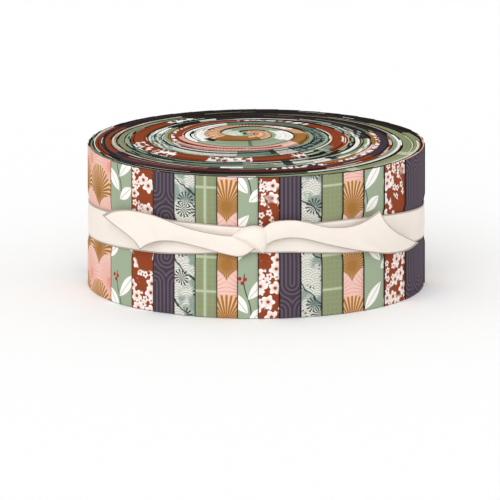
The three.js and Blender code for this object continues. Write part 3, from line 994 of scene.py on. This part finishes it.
# %% [markdown]
# The fifth print is the old wave pattern of overlapping scales, grey on white, with
# clouds of grey green and dark tufts of needles. Scales overlap from below: the lowest
# row whose circle holds a place is the one that shows there.

# %% Waves, clouds and needles
SCALE = 4.4
TUFT, TUFT_RAYS = 8.5, 13
BOUGH_GAP = 19.0


def wave_lines(x, y):
    """A mask of the lines in overlapping scales."""
    step = SCALE / 2
    row = (y / step).floor()

    def from_scale(row):
        """How far it is to the nearest scale of one row."""
        fx = ((x / (2 * SCALE) + row * 0.5 + 0.5).part() - 0.5) * (2 * SCALE)
        return distance(fx, y - row * step)

    reach = from_scale(row - 1)
    for this in (row, row + 1):
        outside = reach.ramp(SCALE - 0.01, SCALE + 0.01)
        reach = reach + (from_scale(this) - reach) * outside
    return off_middle(reach, SCALE / 4).ramp(0.30, 0.42)


def needles(x, y, size):
    """A mask of tufts of fine rays."""
    fx, fy, number, _ = scattered(x, y, size, 0.7)
    angle = fy.math("ARCTAN2", fx) * (TUFT_RAYS / (2 * math.pi)) + number * 5.0
    ray = (angle.part() - 0.5).size().ramp(0.30, 0.14)
    reach = distance(fx, fy)
    return ray * reach.ramp(size * 0.48, size * 0.44) * number.ramp(0.35, 0.4)


def wave_print(x, y):
    colour = over(wave_lines(x, y), DYES["shell"], dye(168, 166, 157))
    mist = cloud(x, y, 13.0, 3.0).ramp(0.47, 0.56) * 0.85
    colour = over(mist, colour, DYES["teal"])
    bough = off_middle(x * 0.9 + y + cloud(x, y, 7.0) * 9.0, BOUGH_GAP)
    colour = over(bough.ramp(0.034, 0.018), colour, DYES["deep_teal"])
    tuft = needles(x, y, TUFT) * cloud(x + 9.0, y, 16.0, 1.0).ramp(0.40, 0.46)
    return over(tuft, colour, DYES["deep_teal"])


PRINTS["E"] = make_cloth("wave_cotton", wave_print)

# %% [markdown]
# The sixth print is an olive windowpane check: a pale line up the cloth and paler ones
# across it, over a fine check of thin threads.

# %% Windowpane on olive
PANE_LEVELS = (58.4, 27.0, 11.6)
PANE_WIDTH = 36.0
FINE_CHECK = 2.3


def windowpane_print(x, y):
    fine = either(*[off_middle(field, FINE_CHECK).ramp(0.10, 0.04) for field in (x, y)])
    from_line = (((x / PANE_WIDTH + 0.5).part() - 0.5) * PANE_WIDTH).size()
    across = either(*[(y - level).size().ramp(0.7, 0.4) for level in PANE_LEVELS])
    panes = either(from_line.ramp(0.75, 0.45), across)
    colour = over(cloud(x * 0.3, y, 3.0), DYES["olive"], dye(138, 147, 112))
    colour = over(fine * 0.12, colour, DYES["pale_olive"])
    return over(panes * 0.85, colour, DYES["pale_olive"])


PRINTS["F"] = make_cloth("windowpane_cotton", windowpane_print)

# %% [markdown]
# The cut edges read the dyes that each strip carries as attributes. Where the print has
# a figure, it shows as short stripes, dots or lines, which line up from strip to strip
# because all strips count the same lengths along the stack.

# %% The cut edges
STRIPE, RAY, DIAMOND = 1.8, 4.6, 3.0    # periods along the edges


def attribute(tree, name, output):
    """An attribute of the mesh, as the output of a node."""
    node = tree.nodes.new("ShaderNodeAttribute")
    node.attribute_name = name
    return node.outputs[output]


def edge_colours(along, across):
    tree = along.tree
    motif = Field(attribute(tree, "motif", "Fac"))
    masks = {
        HATCH: off_middle(along, STRIPE).ramp(0.24, 0.16),
        BLOSSOM: blossoms(along, across, 3.6, 0.30, 0.34)[0],
        DIAMONDS: (off_middle(along, DIAMOND) + off_middle(across, DIAMOND)).ramp(0.40, 0.34),
        WAVES: wave_lines(along, across),
        RAYS: off_middle(along, RAY).ramp(0.20, 0.12),
    }
    figure = either(*[
        mask * (motif - kind).size().ramp(0.5, 0.4) for kind, mask in masks.items()
    ])
    return over(figure, *[attribute(tree, name, "Color") for name in ("cloth_dye", "figure_dye")])


cut_edges = make_cloth("cut_edges", edge_colours, unevenness=0.4, bump=0.08, gloss=0.03)

# %% [markdown]
# ## All forty strips
#
# The order of the prints is the order in which they show on the wall, clockwise from the
# right. Each strip also says how its print is shifted, so that no two ends look alike.

# %% Wind the strips
WALL_ORDER = "DCBAFEDCBAFEDCBA" + "FEDCBA" * 4
FRONT_SHIFTS = {
    # strip: how far its print is moved along it and up
    4: (6.0, 5.0), 10: (6.5, 2.0), 16: (6.0, 5.0),
    5: (13.0, 0.0), 11: (-4.7, 0.0), 9: (3.0, 4.0), 3: (7.0, 12.0), 15: (1.0, 9.0),
}
strips = []
lengths = []
for number, key in enumerate(WALL_ORDER, start=1):
    shift = FRONT_SHIFTS.get(number, tuple(rng.uniform(0, 40, 2)))
    if key == "F":
        shift = (shift[0], 0.0)
    strip, length = make_strip(number, PRINTS[key], cut_edges, shift)
    strips.append(strip)
    lengths.append(length)
print("lengths of the strips:", round(min(lengths)), "to", round(max(lengths)), "mm")

# %% [markdown]
# ## The ribbon
#
# A flat cotton ribbon goes once round the roll, is knotted in front, and its two ends
# hang free. Cloth this thin is best made as a smooth surface through a few measured
# rows, and given its thickness by a Solidify modifier.

# %% Points off the wall, and smooth rows
RIBBON = 0.45             # thickness


def off_wall(degrees, z, lift):
    """A point so many degrees to the right of the front, so far off the wall."""
    angle = np.radians(degrees)
    reach = ROLL_RADIUS + lift
    return np.stack([reach * np.sin(angle), -reach * np.cos(angle), z + 0 * angle], axis=-1)


def through(rows, count):
    """A smooth curve through each column of a table, as so many rows."""
    rows = np.asarray(rows, dtype=float)
    padded = np.concatenate([[2 * rows[0] - rows[1]], rows, [2 * rows[-1] - rows[-2]]])
    t = np.linspace(0, len(rows) - 1, count)
    i = np.minimum(t.astype(int), len(rows) - 2)
    f = (t - i)[:, None]
    a, b, c, d = (padded[i + k] for k in range(4))
    return 0.5 * (2 * b + (c - a) * f + (2 * a - 5 * b + 4 * c - d) * f ** 2
                  + (3 * b - a - 3 * c + d) * f ** 3)


def grid_object(name, points, uvs, closed=False):
    """A sheet from rows of points, with its UV map in metres."""
    rows, columns = points.shape[:2]
    steps = rows if closed else rows - 1
    i, j = np.meshgrid(np.arange(steps), np.arange(columns - 1), indexing="ij")
    here, after = i * columns + j, (i + 1) % rows * columns + j
    quads = np.stack([here, after, after + 1, here + 1], axis=2)
    mesh = bpy.data.meshes.new(name)
    mesh.from_pydata(points.reshape(-1, 3) * MM, [], quads.reshape(-1, 4).tolist())
    along, up = uvs
    corners = np.stack([
        np.stack([along[i + step], up[j + rise]], axis=-1)
        for step, rise in ((0, 0), (1, 0), (1, 1), (0, 1))
    ], axis=2)
    mesh.uv_layers.new(name="cloth").data.foreach_set("uv", corners.ravel() * MM)
    mesh.shade_smooth()
    return linked(mesh)


def thicken(piece):
    """Give a sheet the thickness of the ribbon, to both sides."""
    solid = piece.modifiers.new("thickness", "SOLIDIFY")
    solid.thickness = RIBBON * MM
    solid.offset = 0.0
    return piece


print("on the wall in front:", off_wall(0, 0, 0).round(1))

# %% Ribbon cloth
SELVEDGE = 7.1            # the woven edge begins this far from the middle, and is darker
CUT = 0.6                 # so are the last threads at a cut end


def ribbon_colours(x, y):
    selvedge = (y.size() - SELVEDGE).ramp(0.0, 0.2)
    cut = x.size().ramp(CUT, CUT / 2)
    colour = over(cloud(x, y, 9.0), dye(247, 238, 229), dye(240, 229, 218))
    return over(either(selvedge, cut) * 0.8, colour, dye(176, 160, 146))


ribbon_material = make_cloth(
    "ribbon_cotton", ribbon_colours, unevenness=0.10, bump=0.06, gloss=0.3)

# %% The loop round the roll
LOOP_LIFT = -0.45         # it lies in the waist
LOOP_CLING = 0.12         # and its edges cling closer
RIBBON_WIDTH = 15.7
AWAY_FROM_CUT = 400.0     # the cloth counts its length from the cut end, which is at nought


def make_loop():
    degrees = np.arange(-180, 180, 2.5)
    low, high = loop_edges(degrees)
    share = np.linspace(0, 1, 9)
    z = low[:, None] + (high - low)[:, None] * share
    cling = LOOP_CLING * np.cos(2 * np.pi * share)
    points = off_wall(degrees[:, None] + 0 * z, z, LOOP_LIFT - cling)
    along = np.radians(np.append(degrees, 180)) * ROLL_RADIUS + AWAY_FROM_CUT
    print("rows of points round the loop:", len(degrees))
    return grid_object("ribbon_loop", points, (along, (share - 0.5) * RIBBON_WIDTH), closed=True)


ribbon_loop = thicken(make_loop())

# %% [markdown]
# Each free end is lofted through rows that run from the knot to the cut end. A row has a
# place for its lower and for its upper edge, a lift off the wall, and a bow that hollows
# the cut end. The cloth is arched across, and slight waves run along it.

# %% The two free ends
LEFT_TAIL = [
    # lower edge at, its height, upper edge at, its height, lift, bow
    (-0.5, 32.0, -2.9, 38.0, 1.6, 0), (-4.4, 28.6, -8.2, 37.7, 2.0, 0),
    (-8.7, 28.8, -13.0, 38.0, 2.0, 0), (-17.5, 31.3, -23.0, 39.8, 1.5, 0),
    (-26.2, 33.0, -32.0, 42.7, 1.5, 0), (-31.0, 32.9, -37.7, 44.1, 1.8, 0),
    (-33.7, 32.3, -45.5, 44.5, 2.3, 0.6), (-36.1, 31.3, -51.0, 43.5, 2.9, 1.7),
    (-38.4, 29.9, -55.9, 41.8, 3.5, 3.6), (-41.0, 27.6, -60.2, 39.0, 4.2, 5.4),
]
RIGHT_TAIL = [
    (1.5, 33.3, 0.5, 39.0, 1.6, 0), (3.1, 33.5, 2.9, 42.0, 2.2, 0),
    (6.3, 35.7, 5.8, 44.2, 2.5, 0), (11.6, 36.5, 11.6, 44.5, 2.2, 0),
    (17.0, 35.3, 16.5, 43.3, 1.7, 0), (25.3, 31.9, 23.8, 40.4, 1.5, 0),
    (34.2, 28.5, 30.0, 39.5, 1.8, 0), (42.2, 26.0, 35.1, 40.1, 2.3, -0.8),
    (49.9, 24.0, 38.6, 41.6, 2.9, -2.0), (59.2, 23.4, 41.6, 43.4, 3.5, -3.8),
    (66.0, 25.1, 43.9, 45.1, 4.2, -5.4),
]
EDGE_LIFT = 0.7           # share of the lift that the ribbon's two edges have
TAIL_CLEAR = 0.5          # added to every lift
TAIL_WAVE = 0.22
TAIL_ROWS, TAIL_COLUMNS = 64, 15


def make_tail(name, table):
    rows = through(table, TAIL_ROWS)
    low_at, low, high_at, high, lift, bow = (rows[:, k, None] for k in range(6))
    share = np.linspace(0, 1, TAIL_COLUMNS)
    arch = np.sin(np.pi * share)
    at = low_at + (high_at - low_at) * share + bow * arch
    z = low + (high - low) * share
    along = np.linspace(0, 1, TAIL_ROWS)[:, None]
    wave = TAIL_WAVE * np.sin(14 * along + 4 * share) * arch * np.sin(np.pi * along)
    arched = EDGE_LIFT + (1 - EDGE_LIFT) * arch
    points = off_wall(at, z, lift * arched + TAIL_CLEAR + wave)
    from_cut = lengths_back(points[:, TAIL_COLUMNS // 2])
    length = from_cut[0]
    if table[-1][0] < 0:  # it runs to the left, so its rows are turned round to face out
        points, from_cut = points[::-1], from_cut[::-1]
    halfway = points[TAIL_ROWS // 2]
    width = np.linalg.norm(halfway[0] - halfway[-1])
    print(name, "is", round(length), "mm long and", round(float(width), 1), "mm wide halfway")
    piece = grid_object(name, points, (from_cut, (share - 0.5) * RIBBON_WIDTH))
    return thicken(piece), length


left_tail, left_length = make_tail("ribbon_end_left", LEFT_TAIL)
right_tail, right_length = make_tail("ribbon_end_right", RIGHT_TAIL)

# %% [markdown]
# The knot is the ribbon crossed over itself and pulled flat: a soft three-cornered
# cushion with one fold that runs down to the right. It is built as rings inside its
# outline, each lifted further off the wall, and the cloth above the fold lies higher.

# %% The knot
KNOT_MIDDLE = (-1.3, 36.8)
KNOT_OUTLINE = [
    # corner, then the place that the side to the next corner is drawn towards
    ((-8.0, 37.5), (-2.6, 34.0)), ((2.0, 29.9), (3.9, 32.0)),
    ((3.6, 38.4), (3.6, 42.0)), ((-1.0, 42.0), (-4.5, 41.8)),
]
KNOT_EDGE, KNOT_CROWN = 1.8, 4.4        # off the wall
FOLD_FROM, FOLD_TO = (-7.6, 38.2), (1.9, 30.6)
FOLD_STEP = 0.8           # the cloth above the fold lies this much higher
CREASE, CREASE_REACH = 0.5, 1.2         # depth along the fold, and how fast it fades
WALL_TO_MM = (math.radians(1) * ROLL_RADIUS, 1)     # for a place in degrees and height
KNOT_WEAVE = 0.8          # its threads are pulled apart: so much of them to a millimetre


def knot_outline(points_a_side):
    """Points along the four curved sides."""
    t = np.linspace(0, 1, points_a_side, endpoint=False)[:, None]
    corners = KNOT_OUTLINE + KNOT_OUTLINE[:1]
    sides = []
    for (start, pull), (end, _) in zip(corners, corners[1:]):
        start, pull, end = map(np.array, (start, pull, end))
        sides.append((1 - t) ** 2 * start + 2 * t * (1 - t) * pull + t ** 2 * end)
    return np.concatenate(sides)


def make_knot():
    outline = knot_outline(16)
    count = len(outline)
    scales = np.concatenate([[1, 1], np.linspace(0.97, 0.06, 16)])
    lifts = KNOT_EDGE + (KNOT_CROWN - KNOT_EDGE) * np.sqrt(np.clip(1 - scales ** 2, 0, 1))
    lifts[0] = 0.0
    middle = np.array(KNOT_MIDDLE)
    rings = middle + (outline[None] - middle) * scales[:, None, None]
    way = np.subtract(FOLD_TO, FOLD_FROM) * WALL_TO_MM
    way = way / np.linalg.norm(way)
    from_fold = (rings - FOLD_FROM) * WALL_TO_MM
    side = from_fold[..., 1] * way[0] - from_fold[..., 0] * way[1]
    step = FOLD_STEP * smooth(side, -0.25, 0.25) - CREASE * np.exp(-(side / CREASE_REACH) ** 2)
    lift = lifts[:, None] + step * (1 - scales ** 6)[:, None]
    points = off_wall(rings[..., 0], rings[..., 1], lift)
    last = (len(scales) - 1) * count
    faces = []
    for ring in range(0, last, count):
        for k in range(count):
            n = (k + 1) % count
            faces.append((ring + k, ring + n, ring + count + n, ring + count + k))
    faces.append(list(range(last, last + count)))
    faces.append(list(range(count))[::-1])
    mesh = bpy.data.meshes.new("ribbon_knot")
    mesh.from_pydata(points.reshape(-1, 3) * MM, [], faces)
    flat = rings.reshape(-1, 2) * WALL_TO_MM - (-AWAY_FROM_CUT, KNOT_MIDDLE[1])
    corners = np.empty(len(mesh.loops), dtype=int)
    mesh.loops.foreach_get("vertex_index", corners)
    mesh.uv_layers.new(name="cloth").data.foreach_set(
        "uv", (flat[corners] * MM * KNOT_WEAVE).ravel())
    mesh.shade_smooth()
    mesh.set_sharp_from_angle(angle=math.radians(60))
    return linked(mesh)


ribbon_knot = make_knot()
print("faces of the knot:", len(ribbon_knot.data.polygons))

# %% [markdown]
# ## Telling the frame what is what
#
# Every piece rides on the one body of this model. The strips take the place of the plain
# drum, and the ribbon's pieces take the place of the plain tie.

for strip, length in zip(strips, lengths):
    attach(strip, "root")
    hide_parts("strip_roll")
    length * MM

for piece in (ribbon_loop, left_tail, right_tail, ribbon_knot):
    piece.data.materials.append(ribbon_material)
    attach(piece, "root")
    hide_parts("ribbon_tie")

for tail, length in ((left_tail, left_length), (right_tail, right_length)):
    length * MM
print("pieces:", len(strips) + 4)

# %% [markdown]
# ## Floor and light
#
# The roll stands on a plain white floor in soft light from all around, with one large
# soft lamp above on the left, so that the strips keep their true colours.

# %% Floor and lights
FLOOR_SIZE = 6.0
FLOOR_HEIGHT = -0.0002    # a hair below the roll, so that the two never meet
AROUND = 0.84             # light from all around
LAMP = 0.9
LAMP_SPREAD = math.radians(50)


def add_floor():
    bpy.ops.object.select_all(action="DESELECT")
    bpy.ops.mesh.primitive_plane_add(size=FLOOR_SIZE, location=(0.0, 0.0, FLOOR_HEIGHT))
    floor = bpy.context.object
    floor.name = "floor"
    material = bpy.data.materials.new("white_floor")
    material.use_nodes = True
    shader = material.node_tree.nodes["Principled BSDF"]
    shader.inputs["Base Color"].default_value = (0.98, 0.98, 0.98, 1.0)
    shader.inputs["Roughness"].default_value = 0.9
    floor.data.materials.append(material)


def add_lights():
    world = bpy.data.worlds.new("soft_room")
    bpy.context.scene.world = world
    world.use_nodes = True
    background = world.node_tree.nodes["Background"]
    background.inputs["Color"].default_value = (1.0, 1.0, 1.0, 1.0)
    background.inputs["Strength"].default_value = AROUND
    bpy.ops.object.select_all(action="DESELECT")
    bpy.ops.object.light_add(type="SUN", rotation=(math.radians(50), 0.0, math.radians(-16)))
    lamp = bpy.context.object
    lamp.name = "soft_lamp"
    lamp.data.energy = LAMP
    lamp.data.angle = LAMP_SPREAD


add_floor()
add_lights()
bpy.context.scene.view_settings.view_transform = "Standard"

# %% [markdown]

# %%
